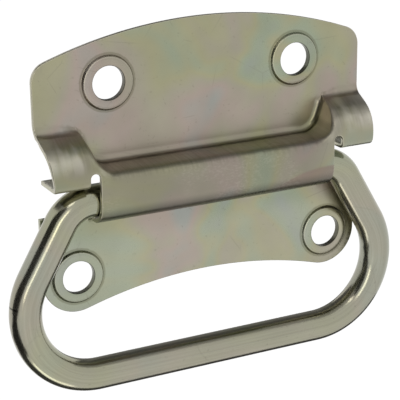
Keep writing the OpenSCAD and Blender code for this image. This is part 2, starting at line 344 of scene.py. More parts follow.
def pocket_wall():
    """The bent wall round the flat upper panel: plan points (station, step, 2) and out (station, step).

    One profile is carried along the path: flat floor, hollow foot arc, drafted wall, ridge arc, then the
    ear's or the channel's own surface. The ridge arc touches the wall line and the raised surface's
    tangent at the contact, which a few passes find. Where the wall runs out, it shrinks to nothing.
    """
    path, away = pocket_path()
    along_shelf = smooth((-away[:, 1] - shelf_facing) / shelf_easing)
    ridge_room = np.maximum(off_slit(path) - ridge_off_slit, least_ridge_r)
    wish_r = np.minimum(ear_ridge_r + (shelf_ridge_r - ear_ridge_r) * along_shelf, ridge_room)
    draft, cos_draft = np.tan(pocket_draft), np.cos(pocket_draft)
    touch = wish_r
    for _ in range(contact_passes):
        at = path + touch[:, None] * away
        near = at + contact_probe * away
        height = raised_out(at[:, 0], at[:, 1]) - sheet
        slope = (raised_out(near[:, 0], near[:, 1]) - sheet - height) / contact_probe
        rise = np.maximum(height - slope * touch, 0)
        full = np.maximum(rise, least_height)
        lean = slope / np.maximum(rise / full, least_shrink)
        tilt = np.arctan(lean)
        edge_r = np.minimum(wish_r, arc_share * full)
        edge_out = (full - edge_r / np.cos(tilt) + lean * edge_r / cos_draft) / (1 - draft * lean)
        edge_d = edge_out * draft + edge_r / cos_draft
        touch = (touch + edge_d - edge_r * np.sin(tilt)) / 2
    foot_r = np.minimum(pocket_root_r, arc_share * full)
    foot_d = -foot_r * (1 - np.sin(pocket_draft)) / cos_draft

    foot_a = np.linspace(-np.pi / 2, -pocket_draft, foot_points)
    foot = [foot_d[:, None] + foot_r[:, None] * np.cos(foot_a),
            foot_r[:, None] * (1 + np.sin(foot_a))]
    t = np.linspace(0, 1, wall_points)
    edge_a = np.pi - pocket_draft + t * (tilt[:, None] - np.pi / 2 + pocket_draft)
    edge = [edge_d[:, None] + edge_r[:, None] * np.cos(edge_a),
            edge_out[:, None] + edge_r[:, None] * np.sin(edge_a)]
    t = t[1:-1]
    wall = [foot[k][:, -1:] * (1 - t) + edge[k][:, :1] * t for k in (0, 1)]
    floor = [foot[0][:, :1] - floor_lead, np.zeros((len(path), len(floor_lead)))]
    contact = path + edge[0][:, -1:] * away
    gap = off_slit(contact) - cut_r
    trail = np.clip(trail_of_gap * gap, shortest_trail, longest_trail)[:, None] * trail_share
    d = np.concatenate([floor[0], foot[0], wall[0], edge[0], edge[0][:, -1:] + trail], 1)
    plan = path[:, None] + d[..., None] * away[:, None]
    shaped = np.concatenate([floor[1], foot[1], wall[1], edge[1]], 1) * (rise / full)[:, None]
    surface = raised_out(plan[..., 0], plan[..., 1]) - sheet
    last = shaped.shape[1] - 1
    miss = (shaped[:, last] - surface[:, last])[:, None]
    over = surface[:, last + 1:] + miss * (1 - smooth(trail_share))
    return plan, np.minimum(sheet + np.concatenate([shaped, over], 1), front_out)


def hole_loop(centre, r, count=72):
    """Clockwise circle round a screw hole, so that the material lies on its left."""
    a = -2 * np.pi * np.arange(count) / count
    return np.asarray(centre) + r * np.stack([np.cos(a), np.sin(a)], -1)


def spread(xs, ws):
    """Every pairing of an x and a run, one row for each."""
    return np.stack(np.meshgrid(xs, ws), -1).reshape(-1, 2)


def even(a, b, step):
    """Values from a to b at most a step apart, both ends included."""
    return np.linspace(a, b, max(2, int(np.ceil(abs(b - a) / step)) + 1))


def both_sides(xs):
    """The mirror of some x values, then the values themselves."""
    return np.concatenate([-xs, xs])


# Margins of the points inside the blank, and the radii of the rings of points round a screw hole
cut_margin = 0.6
side_margin = 0.7
flat_margin = 1.0
below_shelf = 3.0
beside_slit = 1.5
past_return = 1.5
panel_start = 2.2
flat_step = 1.9
seat_top_r = seat_hollow_r - seat_slope
seat_rings = np.concatenate([
    even(hole_r + 0.45, seat_top_r - 0.4, step=0.3),
    even(seat_top_r - 0.1, seat_foot_r + 0.1, step=0.12),
    [7.5],
])
seat_clear_r = seat_rings[-1] + 0.5


def inner_points():
    """Points over the blank: wide apart on the flats, and in close rows wherever the sheet bends."""
    ear_x = both_sides(even(ear_in + cut_margin, half_w - side_margin, step=1.1))
    over_slit_x = both_sides(even(channel_half - beside_slit, ear_in + cut_margin, step=0.6))
    mid_x = even(-channel_half + cut_margin, channel_half - cut_margin, step=1.6)
    flat_x = even(-half_w + flat_margin, half_w - flat_margin, flat_step)
    ear_rows = np.concatenate([
        ear_z - ear_root_r * np.sin(even(0, ear_turn, step=0.13)),
        even(slope_top_z, slope_low_z, step=0.5)[1:-1],
        crown_z + ear_crown_r * np.sin(even(ear_turn, 0, step=0.06)),
        flange_start - even(0, flange_arc, step=0.3),
        even(flange_start - flange_arc, flange_end, step=1.5)[1:-1],
    ])
    mid_rows = np.concatenate([
        even(shelf_z - below_shelf, pivot_z, step=1.0),
        pivot_z - even(0, channel_arc, step=0.5),
        pivot_z - channel_arc - even(0, channel_flat, step=0.9),
        pivot_z - channel_arc - channel_flat - even(0, return_arc, step=0.3),
        even(return_run, return_run - past_return, step=0.75),
    ])
    return np.concatenate([
        spread(ear_x, ear_rows),
        spread(over_slit_x, even(slit_top, ear_z, step=0.6)),
        spread(mid_x, mid_rows),
        spread(flat_x, even(crown_rise, shelf_z, flat_step)),
        spread(flat_x, even(return_run - panel_start, lobe_run - lobe_r, flat_step)),
    ])


def spaced_points(points, loops, gap):
    """Points inside the first loop and outside the others, a gap or more from every point of the loops.

    Of the points that share a cell of half a gap, only the first is kept.
    """
    batches = 40
    keep = inside(points, loops[0])
    for loop in loops[1:]:
        keep &= ~inside(points, loop)
    edge = np.concatenate(loops)
    points = points[keep]
    near = np.concatenate([np.sqrt(((part[:, None] - edge) ** 2).sum(-1)).min(1)
                           for part in np.array_split(points, batches)])
    points = points[near > gap]
    cell = np.unique(np.round(points / (gap / 2)).astype(int), axis=0, return_index=True)[1]
    return points[np.sort(cell)]


def blank_triangles(loops, wall_loop, holes):
    """The flat blank as (points, number of each loop's first point, triangles).

    The edges, the border of the pocket's wall, rings round the holes and rows over the bends are joined
    by a constrained Delaunay triangulation, less what lies outside the blank or on the pocket's wall.
    """
    merge_gap = 1e-7
    rings = np.concatenate([hole_loop(hole, r) for hole in holes for r in seat_rings])
    rings = spaced_points(rings, [loops[0], wall_loop], gap=0.05)
    seats = [hole_loop(hole, seat_clear_r) for hole in holes]
    field = spaced_points(inner_points(), [loops[0], wall_loop] + seats, gap=0.33)
    bound = loops + [wall_loop]
    points = np.concatenate(bound + [rings, field])
    starts = np.cumsum([0] + [len(loop) for loop in bound])
    links = np.concatenate([np.stack([np.arange(a, b), np.roll(np.arange(a, b), -1)], -1)
                            for a, b in zip(starts, starts[1:])])
    _, _, faces, given, _, _ = delaunay_2d_cdt(points.tolist(), links.tolist(), [], 0, merge_gap)
    source = np.array([origin[0] for origin in given])
    triangles = source[np.array(faces)]
    middles = points[triangles].mean(1)
    keep = inside(middles, loops[0])
    for loop in bound[1:]:
        keep &= ~inside(middles, loop)
    return points, starts, triangles[keep]


def formed_front(points, triangles, rim_start, plan, out):
    """The pressed sheet's front as (corners, triangles): the formed blank with the pocket's wall set in.

    The wall is a grid that shares its border with the blank, and the border takes the wall's own height.
    """
    rows, cols = out.shape
    inner = (rows - 2, cols - 2)
    rim = rim_start + np.arange(2 * (rows + cols) - 4)
    floor, right_end, top, left_end = np.split(rim, np.cumsum([rows, cols - 2, rows]))
    index = np.empty((rows, cols), int)
    index[:, 0] = floor
    index[-1, 1:-1] = right_end
    index[::-1, -1] = top
    index[0, -2:0:-1] = left_end
    index[1:-1, 1:-1] = len(points) + np.arange(np.prod(inner)).reshape(inner)
    spot = np.concatenate([formed(points[:, 0], points[:, 1]), np.zeros((np.prod(inner), 3))])
    spot[index.ravel()] = np.stack([plan[..., 0], -out, plan[..., 1]], -1).reshape(-1, 3)
    quad = np.stack([index[:-1, :-1], index[:-1, 1:], index[1:, 1:], index[1:, :-1]], -1).reshape(-1, 4)
    return spot, np.concatenate([triangles, quad[:, :3], quad[:, [0, 2, 3]]])


def corner_normals(spots, triangles):
    """Unit normals at a surface's corners: the sum of its triangles' cross products, made unit long."""
    a, b, c = (spots[triangles[:, k]] for k in range(3))
    across = np.cross(b - a, c - a)
    normal = np.zeros_like(spots)
    for k in range(3):
        np.add.at(normal, triangles[:, k], across)
    return normal / np.maximum(np.linalg.norm(normal, axis=1), 1e-12)[:, None]


def corner_bend(spots, triangles, normals):
    """Bend at a surface's corners, per mm: how far the normal turns outward along each edge, averaged."""
    total, count = np.zeros(len(spots)), np.zeros(len(spots))
    for k in range(3):
        start, end = triangles[:, k], triangles[:, (k + 1) % 3]
        step = spots[end] - spots[start]
        turn = ((normals[end] - normals[start]) * step).sum(1) / np.maximum((step**2).sum(1), 1e-6)
        for side in (start, end):
            np.add.at(total, side, turn)
            np.add.at(count, side, 1)
    return total / np.maximum(count, 1)


def seat_forms(spot):
    """How far each corner of the sheet is raised in front and hollowed behind by a screw's seat.

    A seat is a smooth step off the panel plus a parabolic dome. The hollow is a narrower step with the
    same dome, less the lip that is turned back round the hole.
    """
    apart = np.sqrt(((spot[:, None, [0, 2]] - screws) ** 2).sum(-1)).min(1)
    on_panel = np.abs(spot[:, 1] + sheet) < 1e-3
    ring_mid, ring_half = (seat_hollow_r + hole_r) / 2, (seat_hollow_r - hole_r) / 2
    dome = seat_crown * np.maximum(1 - ((apart - ring_mid) / ring_half) ** 2, 0)
    lip = hole_lip * smooth((hole_lip_r - apart) / hole_lip_slope)
    raised = (seat_rise * smooth((seat_foot_r - apart) / seat_slope) + dome) * on_panel
    hollow = (seat_rise * smooth((seat_hollow_r - apart) / seat_slope) + dome - lip) * on_panel
    return raised, hollow


def plate_mesh():
    """The whole plate: (corners, faces, cut mask, bend of the sheet), in millimetres.

    The back is the front moved in by the sheet's thickness along its normals, the seats stand forward
    with a hollow behind, and every cut edge is a rounded profile carried along its loop. The mask is 1 on
    the cut outline, -1 on the walls of the screw holes and 0 on the sheet's two sides.
    """
    round_a = np.radians([30, 60, 90])
    edge_rows = 2 * len(round_a)
    # A made-up hollow bend on the walls of the screw holes, so that the plate's material paints shade
    # there
    bore_shade_bend = -0.2
    screw_run = np.where(screws[:, 1] < return_z, screws[:, 1] - lower_shift, screws[:, 1])
    holes = np.stack([screws[:, 0], screw_run], -1)
    edges = [blank_outline()] + [hole_loop(hole, hole_r) for hole in holes]
    loops = [shrunk(edge, cut_r) for edge in edges]
    plan, out = pocket_wall()
    wall_loop = np.concatenate([plan[:, 0], plan[-1, 1:-1], plan[::-1, -1], plan[0, 1:-1][::-1]])
    points, starts, triangles = blank_triangles(loops, wall_loop, holes)
    spot, front = formed_front(points, triangles, starts[-2], plan, out)
    normal = corner_normals(spot, front)
    raised, hollow = seat_forms(spot)
    face = spot + raised[:, None] * normal
    back = spot - (sheet - hollow)[:, None] * normal
    bend = corner_bend(face, front, corner_normals(face, front))

    count = len(spot)
    total = 2 * count
    corners, quads, mask, bends = [face, back], [], [np.zeros(total)], [bend, -bend]
    for k, (loop, edge) in enumerate(zip(loops, edges)):
        size = len(loop)
        at = starts[k] + np.arange(size)
        outward = formed(edge[:, 0], edge[:, 1]) - formed(loop[:, 0], loop[:, 1])
        lift = cut_r * normal[at]
        corners += [face[at] + outward * np.sin(a) - lift * (1 - np.cos(a)) for a in round_a]
        corners += [back[at] + outward * np.sin(a) + lift * (1 - np.cos(a)) for a in round_a[::-1]]
        rings = [at] + [total + row * size + np.arange(size) for row in range(edge_rows)] + [at + count]
        quads += [np.stack([p, q, np.roll(q, -1), np.roll(p, -1)], -1) for p, q in zip(rings, rings[1:])]
        mask.append(np.full(edge_rows * size, 1.0 if k == 0 else -1.0))
        bends.append(np.full(edge_rows * size, 0.0 if k == 0 else bore_shade_bend))
        total += edge_rows * size
    faces = np.concatenate([front, front[:, ::-1] + count]).tolist() + np.concatenate(quads).tolist()
    return np.concatenate(corners), faces, np.concatenate(mask), np.concatenate(bends)


def put_in_mesh(name, corners, faces):
    """An object at the origin with these corners, in millimetres, and these faces, shaded smooth."""
    mesh = bpy.data.meshes.new(name)
    mesh.from_pydata((corners * MM).tolist(), [], faces)
    mesh.polygons.foreach_set("use_smooth", np.ones(len(mesh.polygons), bool))
    mesh.update()
    piece = bpy.data.objects.new(name, mesh)
    bpy.context.scene.collection.objects.link(piece)
    return piece


def put_attribute(piece, name, values):
    """A value for each corner of a piece, for its material to read."""
    piece.data.attributes.new(name, "FLOAT", "POINT").data.foreach_set("value", values.astype(np.float32))


corners, faces, cut_edge, sheet_bend = plate_mesh()
plate = put_in_mesh("pressed_plate", corners, faces)
put_attribute(plate, "cut_edge", cut_edge)
put_attribute(plate, "sheet_bend", sheet_bend)
settle = plate.modifiers.new("even_shading", "WEIGHTED_NORMAL")
settle.keep_sharp = True


def set_or_link(tree, socket, value):
    """Sets an input to a plain value, or feeds it from another node's output."""
    if isinstance(value, bpy.types.NodeSocket):
        tree.links.new(value, socket)
    else:
        socket.default_value = value


def add_node(tree, kind, feeds=None, **settings):
    """A new node with these settings and inputs."""
    node = tree.nodes.new(kind)
    for name, value in settings.items():
        setattr(node, name, value)
    for key, value in (feeds or {}).items():
        set_or_link(tree, node.inputs[key], value)
    return node


def calc(tree, operation, *values):
    """Output of a maths node over these values."""
    return add_node(tree, "ShaderNodeMath", dict(enumerate(values)), operation=operation).outputs[0]


def times(tree, first, *others):
    """Output of these values multiplied together."""
    for other in others:
        first = calc(tree, "MULTIPLY", first, other)
    return first


def remap(tree, value, span, reach=(0.0, 1.0)):
    """Output of a smooth range from the two ends of span to the two ends of reach, held at both ends."""
    feeds = {"Value": value, "From Min": span[0], "From Max": span[1],
             "To Min": reach[0], "To Max": reach[1]}
    return add_node(tree, "ShaderNodeMapRange", feeds, interpolation_type="SMOOTHSTEP").outputs["Result"]


def noise(tree, vector, scale, detail=2.0, distortion=0.0):
    """Output of a noise texture, about 0.3 to 0.7."""
    feeds = {"Vector": vector, "Scale": scale, "Detail": detail, "Distortion": distortion}
    return add_node(tree, "ShaderNodeTexNoise", feeds).outputs[0]


def stretched(tree, vector, scale):
    """A vector scaled by a different amount along each axis."""
    feeds = {0: vector, 1: scale}
    return add_node(tree, "ShaderNodeVectorMath", feeds, operation="MULTIPLY").outputs["Vector"]


def parted(tree, vector):
    """Outputs X, Y and Z of a vector."""
    return add_node(tree, "ShaderNodeSeparateXYZ", {0: vector}).outputs


def grey(tree, value):
    """Output colour with this value as its red, green and blue."""
    feeds = {"Red": value, "Green": value, "Blue": value}
    return add_node(tree, "ShaderNodeCombineColor", feeds).outputs[0]


def blend(tree, amount, first, second, mode="MIX"):
    """Output colour of a mix of two colours, with the amount held between 0 and 1."""
    node = add_node(tree, "ShaderNodeMix", data_type="RGBA", blend_type=mode)
    colours = [socket for socket in node.inputs if socket.type == "RGBA"]
    for socket, value in zip([node.inputs[0]] + colours, (amount, first, second)):
        set_or_link(tree, socket, value)
    return next(socket for socket in node.outputs if socket.type == "RGBA")


def layered(tree, colour, layers):
    """Output colour with tints laid over it in turn, each layer a mask, its strength and its tint."""
    for mask, strength, tint in layers:
        colour = blend(tree, calc(tree, "MULTIPLY", mask, strength), colour, tint)
    return colour


def ramp(tree, value, stops):
    """Output colour of a ramp with these (place, colour) stops."""
    node = add_node(tree, "ShaderNodeValToRGB", {"Fac": value})
    elements = node.color_ramp.elements
    while len(elements) < len(stops):
        elements.new(0.5)
    for element, (place, colour) in zip(elements, stops):
        element.position = place
        element.color = colour
    return node.outputs["Color"]


def new_group(name, **outputs):
    """An empty shader node group with one vector input: (group, the vector, the group's output node)."""
    group = bpy.data.node_groups.new(name, "ShaderNodeTree")
    group.interface.new_socket("Vector", in_out="INPUT", socket_type="NodeSocketVector")
    for label, kind in outputs.items():
        group.interface.new_socket(label, in_out="OUTPUT", socket_type=kind)
    start = group.nodes.new("NodeGroupInput")
    return group, start.outputs["Vector"], group.nodes.new("NodeGroupOutput")


# Zinc under a clear passivate: thin-film colours that drift across the metal in soft clouds
noise_span = (0.3, 0.7)
shade_reach = (0.95, 1.06)
passivate, where_on, result = new_group("passivate", Color="NodeSocketColor", Cloud="NodeSocketFloat")
cloud = noise(passivate, where_on, scale=30.0, distortion=0.9)
film = ramp(passivate, cloud, [
    (0.30, (0.275, 0.300, 0.270, 1)),
    (0.40, (0.290, 0.325, 0.235, 1)),
    (0.47, (0.330, 0.320, 0.205, 1)),
    (0.53, (0.325, 0.305, 0.235, 1)),
    (0.60, (0.350, 0.295, 0.255, 1)),
    (0.70, (0.300, 0.310, 0.285, 1)),
])
shade = remap(passivate, noise(passivate, where_on, scale=75.0, detail=3.0), noise_span, shade_reach)
shaded_film = blend(passivate, 1.0, film, grey(passivate, shade), "MULTIPLY")
passivate.links.new(shaded_film, result.inputs["Color"])
passivate.links.new(cloud, result.inputs["Cloud"])

# Plating grain: a fine uneven skin with scattered pits
pit_span = (0.68, 0.78)
skin_height = 0.25
plating, where_on, result = new_group("plating_grain", Pits="NodeSocketFloat", Height="NodeSocketFloat")
pits = remap(plating, noise(plating, where_on, scale=1300.0, detail=1.0), pit_span)
skin = calc(plating, "MULTIPLY", noise(plating, where_on, scale=2600.0), skin_height)
plating.links.new(pits, result.inputs["Pits"])
plating.links.new(calc(plating, "SUBTRACT", skin, pits), result.inputs["Height"])

# Drawing lines: fine streaks where the metal slid over the die; the vector comes in already stretched
line_span = (0.36, 0.64)
drawing, where_on, result = new_group("draw_lines", Lines="NodeSocketFloat")
streaks = remap(drawing, noise(drawing, where_on, scale=1.0, detail=4.0), line_span)
drawing.links.new(streaks, result.inputs["Lines"])

# Handling scratches: hairlines along the edges of large cells, broken into short lengths
hairline_span = (0.008, 0.003)
broken_span = (0.5, 0.58)
scratching, where_on, result = new_group("hairline_scratches", Scratches="NodeSocketFloat")
cell_edge = add_node(scratching, "ShaderNodeTexVoronoi", {"Vector": where_on, "Scale": 60.0},
                     feature="DISTANCE_TO_EDGE").outputs["Distance"]
hairlines = remap(scratching, cell_edge, hairline_span)
broken = remap(scratching, noise(scratching, where_on, scale=95.0), broken_span)
scratching.links.new(calc(scratching, "MULTIPLY", hairlines, broken), result.inputs["Scratches"])


def new_material(name, metallic):
    """A material with one Principled shader: (material, tree, shader)."""
    material = bpy.data.materials.new(name)
    material.use_nodes = True
    shader = material.node_tree.nodes["Principled BSDF"]
    shader.inputs["Metallic"].default_value = metallic
    return material, material.node_tree, shader


def feed_group(tree, group, vector):
    """Outputs of a shared group run on this vector."""
    return add_node(tree, "ShaderNodeGroup", {"Vector": vector}, node_tree=group).outputs


def attribute(tree, name):
    """Output of a value stored at the corners of the piece."""
    return add_node(tree, "ShaderNodeAttribute", attribute_name=name).outputs["Fac"]


def give_relief(tree, shader, height, depth):
    """Bumps a shader by a height, a depth in metres being what a height of one stands for."""
    bump = add_node(tree, "ShaderNodeBump", {"Strength": 1.0, "Distance": depth, "Height": height})
    tree.links.new(bump.outputs["Normal"], shader.inputs["Normal"])


# Where the plate's marks begin and are full: places, in metres from the origin or off the middle
off_panel_y = (-0.0021, -0.0035)
front_y = (-0.006, -0.0105)
painted_paleness_x = (0.022, 0.036)
painted_paleness_y = (-0.002, -0.005)
painted_paleness_z = (-0.035, -0.041)
# Middle, half sizes and rim of the brown patch painted at the channel's right end as the rod's reflection
painted_reflection_at = (0.0305, -0.0335)
painted_reflection_half = (0.0168, 0.0074)
painted_reflection_rim = (1.06, 0.86)
ear_off = (0.0345, 0.0365)
ear_rim_off = (0.0395, 0.0435)
channel_off = (0.0335, 0.0325)

# The same for how far the surface faces up or down, its bend per mm, the cut mask and noise levels
facing_up = (0.1, 0.6)
facing_down = (-0.1, -0.6)
hollow_shade_bend = (-0.06, -0.34)
ridge_bend = (0.10, 0.40)
bore_mask = (-0.3, -0.9)
patch_level = (0.42, 0.62)
speckle_level = (0.48, 0.66)
rubbing_level = (0.42, 0.6)
patch_reach = (0.0, 0.5)
ear_rim_reach = (0.0, 0.6)
# Pale zinc, for the rubbed plating and for the painted sheen on the right ear and lower panel
bare_zinc_and_sheen = (0.62, 0.59, 0.51, 1)
line_depth = 0.6

plate_finish, tree, shader = new_material("plated_sheet", 1.0)
spot_on = add_node(tree, "ShaderNodeTexCoord").outputs
facing = parted(tree, spot_on["Normal"])
place = parted(tree, spot_on["Object"])
off_middle = calc(tree, "ABSOLUTE", place["X"])
film = feed_group(tree, passivate, spot_on["Object"])
grain = feed_group(tree, plating, spot_on["Object"])
lines = feed_group(tree, drawing, stretched(tree, spot_on["Object"], (1900.0, 60.0, 55.0)))["Lines"]
scratches = feed_group(tree, scratching, spot_on["Object"])["Scratches"]
# Painted shade, with some dirt, darkens the sheet's hollow bends and the walls of the screw holes
hollow_dirt_and_shade = remap(tree, attribute(tree, "sheet_bend"), hollow_shade_bend)
# Wear and painted highlight make the sheet's convex ridges paler
ridge_wear_and_highlight = remap(tree, attribute(tree, "sheet_bend"), ridge_bend)
# The cut mask: the cut edges are painted paler, as bare sheared metal and as painted highlight
cut = attribute(tree, "cut_edge")
# Painted shade darkens the walls of the screw holes
bore_painted_shade = remap(tree, cut, bore_mask)

# The raised metal: its front, its slopes that face up, with draw lines, and the channel's underside,
# which is painted in shade
off_panel = remap(tree, place["Y"], off_panel_y)
raised = remap(tree, place["Y"], front_y)
in_channel = remap(tree, off_middle, channel_off)
slopes = times(tree, remap(tree, facing["Z"], facing_up), off_panel)
drawn = times(tree, lines, slopes)
# Painted shade on the channel's underside, where it faces down
underside_painted_shade = times(tree, remap(tree, facing["Z"], facing_down), off_panel, in_channel)

# Painted light: the right ear and lower panel painted paler, and one brown patch at the channel's right
# end painted as the rod's reflection
painted_paleness = times(tree, remap(tree, place["X"], painted_paleness_x), remap(tree, place["Y"], painted_paleness_y))
painted_paleness = calc(tree, "MAXIMUM", painted_paleness, remap(tree, place["Z"], painted_paleness_z))
# A brown patch painted on the raised metal at the channel's right end, where the rod is mirrored
painted_reflection_x = calc(tree, "DIVIDE", calc(tree, "SUBTRACT", place["X"], painted_reflection_at[0]), painted_reflection_half[0])
painted_reflection_z = calc(tree, "DIVIDE", calc(tree, "SUBTRACT", place["Z"], painted_reflection_at[1]), painted_reflection_half[1])
painted_reflection_r = calc(tree, "ADD", calc(tree, "POWER", painted_reflection_x, 2.0), calc(tree, "POWER", painted_reflection_z, 2.0))
painted_reflection = times(tree, remap(tree, painted_reflection_r, painted_reflection_rim), raised)

# Plating rubbed off in patches on the ears' slopes and rims, and in fine speckles on the channel
patches = noise(tree, stretched(tree, spot_on["Object"], (1.6, 0.5, 0.4)), scale=190.0)
patches = remap(tree, patches, patch_level, patch_reach)
rubbed = calc(tree, "MAXIMUM", patches, remap(tree, off_middle, ear_rim_off, ear_rim_reach))
rubbed = times(tree, rubbed, slopes, remap(tree, off_middle, ear_off))
speckles = noise(tree, stretched(tree, spot_on["Object"], (0.5, 1.0, 1.0)), scale=2600.0)
speckles = remap(tree, speckles, speckle_level)
rubbing = remap(tree, noise(tree, spot_on["Object"], scale=70.0), rubbing_level)
speckles = times(tree, speckles, times(tree, raised, in_channel, rubbing))

# Painted light among the layers: the paler right ear and lower panel, the brown patch as the rod's
# reflection, shade in the hollows, on the underside and in the holes, and highlight on the ridges and cut
# edges
colour = layered(tree, film["Color"], [
    (raised, 0.3, (0.10, 0.095, 0.075, 1)),
    (painted_paleness, 0.14, bare_zinc_and_sheen),
    (painted_reflection, 0.7, (0.235, 0.175, 0.15, 1)),
    (hollow_dirt_and_shade, 0.4, (0.10, 0.095, 0.05, 1)),
    (drawn, 0.2, (0.15, 0.135, 0.09, 1)),
    (rubbed, 1.0, bare_zinc_and_sheen),
    (underside_painted_shade, 0.6, (0.075, 0.075, 0.06, 1)),
    (ridge_wear_and_highlight, 0.25, (0.55, 0.52, 0.42, 1)),
    (speckles, 0.09, bare_zinc_and_sheen),
    (scratches, 0.22, (0.16, 0.15, 0.12, 1)),
    (grain["Pits"], 0.2, (0.12, 0.115, 0.09, 1)),
    (cut, 0.5, (0.60, 0.57, 0.47, 1)),
    (bore_painted_shade, 0.75, (0.05, 0.05, 0.035, 1)),
])
tree.links.new(colour, shader.inputs["Base Color"])

# Roughness drifts with the film's clouds and rises on the draw lines; the slopes are slightly wavy
plate_rough = (0.26, 0.34)
drawn_rough = 0.06
slope_waves = 40.0
other_waves = 0.5
plate_relief = 0.00001
rough = remap(tree, film["Cloud"], noise_span, plate_rough)
rough = calc(tree, "ADD", rough, calc(tree, "MULTIPLY", drawn, drawn_rough))
tree.links.new(rough, shader.inputs["Roughness"])
waves = noise(tree, stretched(tree, spot_on["Object"], (1.0, 0.6, 0.5)), scale=230.0)
waves = times(tree, waves, calc(tree, "ADD", calc(tree, "MULTIPLY", slopes, slope_waves), other_waves))
fine = calc(tree, "ADD", grain["Height"], calc(tree, "MULTIPLY", drawn, line_depth))
give_relief(tree, shader, calc(tree, "ADD", waves, fine), plate_relief)
plate.data.materials.append(plate_finish)
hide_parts("back_plate")
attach(plate, "plate")

# The bail is one length of drawn steel rod, cut square, bent cold at four places and zinc plated.
# Nothing fixes it: its two ends lie in the plate's channel, where they turn as the hinge pin.
bail_half_w = 53.3
grip_drop = 44.8
upper_bend_r = 9.0
lower_bend_r = 18.3
bend_inset = 0.3
bail_drift = -1.0
rod_end_gap = 6.0
rod_end_chamfer = 0.6
rod_sides = 56

bend_x = channel_half - bend_inset
grip_half = bail_half_w - rod_r - lower_bend_r
shift_x = grip_half - bend_x
shift_z = upper_bend_r + lower_bend_r - grip_drop
arm_turn = (np.arctan2(-shift_z, shift_x)
            + np.arcsin((upper_bend_r - lower_bend_r) / np.hypot(shift_x, shift_z)))


def bail_path():
    """Middle of the rod in x and z from the pivot, from its left end round the loop to its right end.

    Straight end, bend, straight arm, bend, half the grip: lines and arcs that touch, then their mirror.
    """
    upper = np.array([bend_x, -upper_bend_r])
    lower = np.array([grip_half, lower_bend_r - grip_drop])
    off_arm = np.array([np.sin(arm_turn), np.cos(arm_turn)])
    end_a = np.pi / 2 - arm_turn
    half = np.concatenate([
        line((rod_end_gap / 2 + rod_end_chamfer, 0), (bend_x, 0), step=2.0),
        arc(upper, upper_bend_r, np.pi / 2, end_a, step=0.6),
        line(upper + upper_bend_r * off_arm, lower + lower_bend_r * off_arm, step=1.2),
        arc(lower, lower_bend_r, end_a, -np.pi / 2, step=0.8),
        line((grip_half, -grip_drop), (0, -grip_drop), step=2.0),
        [[0, -grip_drop]],
    ])
    return np.concatenate([half * [-1, 1], half[-2::-1]])


def bail_mesh():
    """The rod as (corners, faces, lay): a circle carried along its path, square to it.

    Each end has a chamfered ring and a flat cap. The lay of a corner is its run along the rod and its
    two places across it, in metres.
    """
    path = bail_path()
    ahead = np.gradient(path, axis=0)
    ahead /= np.linalg.norm(ahead, axis=1)[:, None]
    ends = np.array([path[0] - rod_end_chamfer * ahead[0], path[-1] + rod_end_chamfer * ahead[-1]])
    path = np.concatenate([ends[:1], path, ends[1:]])
    ahead = np.concatenate([ahead[:1], ahead, ahead[-1:]])
    radius = np.full(len(path), rod_r)
    radius[[0, -1]] -= rod_end_chamfer
    a = 2 * np.pi * np.arange(rod_sides) / rod_sides
    side = np.stack([-ahead[:, 1], ahead[:, 0]], -1)
    ring = path[:, None] + radius[:, None, None] * np.cos(a)[:, None] * side[:, None]
    depth = -pivot_out + radius[:, None] * np.sin(a)
    corners = np.stack([ring[..., 0] + bail_drift, depth, ring[..., 1] + pivot_z], -1).reshape(-1, 3)
    index = np.arange(len(corners)).reshape(len(path), rod_sides)
    turned = np.roll(index, -1, 1)
    quads = np.stack([index[:-1], index[1:], turned[1:], turned[:-1]], -1).reshape(-1, 4)
    caps = [index[0].tolist(), index[-1, ::-1].tolist()]
    run = np.concatenate([[0], np.cumsum(np.linalg.norm(np.diff(path, axis=0), axis=1))])
    lay = np.stack([np.repeat(run, rod_sides),
                    np.tile(rod_r * np.cos(a), len(path)),
                    np.tile(rod_r * np.sin(a), len(path))], -1)
    return corners, quads.tolist() + caps, lay * MM


corners, faces, rod_lay = bail_mesh()
bail = put_in_mesh("bent_rod_bail", corners, faces)
stored_lay = bail.data.attributes.new("rod_lay", "FLOAT_VECTOR", "POINT")
stored_lay.data.foreach_set("vector", rod_lay.ravel().astype(np.float32))

# The rod is brighter than the sheet and smoother, with lines along it and one nick on its left side
rod_zinc = (0.35, 0.352, 0.27, 1)
film_share = 0.4
rod_rough = (0.13, 0.2)
rod_relief = 0.000004
nick_from_widest = 0.0027
nick_half = (0.00024, 0.0001)
nick_across = (-0.0028, -0.0033)

rod_finish, tree, shader = new_material("plated_rod", 1.0)
lay = add_node(tree, "ShaderNodeAttribute", attribute_name="rod_lay").outputs["Vector"]
along = parted(tree, lay)
film = feed_group(tree, passivate, lay)
grain = feed_group(tree, plating, lay)
lines = feed_group(tree, drawing, stretched(tree, lay, (30.0, 2600.0, 2600.0)))["Lines"]
scratches = feed_group(tree, scratching, lay)["Scratches"]
nick_at = float(rod_lay[corners[:, 0].argmin(), 0]) - nick_from_widest
off_nick = calc(tree, "ABSOLUTE", calc(tree, "SUBTRACT", along["X"], nick_at))
nick = times(tree, remap(tree, off_nick, nick_half), remap(tree, along["Y"], nick_across))
colour = layered(tree, blend(tree, film_share, rod_zinc, film["Color"]), [
    (lines, 0.25, (0.22, 0.21, 0.16, 1)),
    (scratches, 0.16, (0.14, 0.13, 0.10, 1)),
    (grain["Pits"], 0.3, (0.13, 0.125, 0.10, 1)),
    (nick, 0.85, (0.04, 0.04, 0.03, 1)),
])
tree.links.new(colour, shader.inputs["Base Color"])
tree.links.new(remap(tree, film["Cloud"], noise_span, rod_rough), shader.inputs["Roughness"])
fine = calc(tree, "ADD", grain["Height"], calc(tree, "MULTIPLY", lines, line_depth))
give_relief(tree, shader, fine, rod_relief)
bail.data.materials.append(rod_finish)
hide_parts("bail")
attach(bail, "handle")

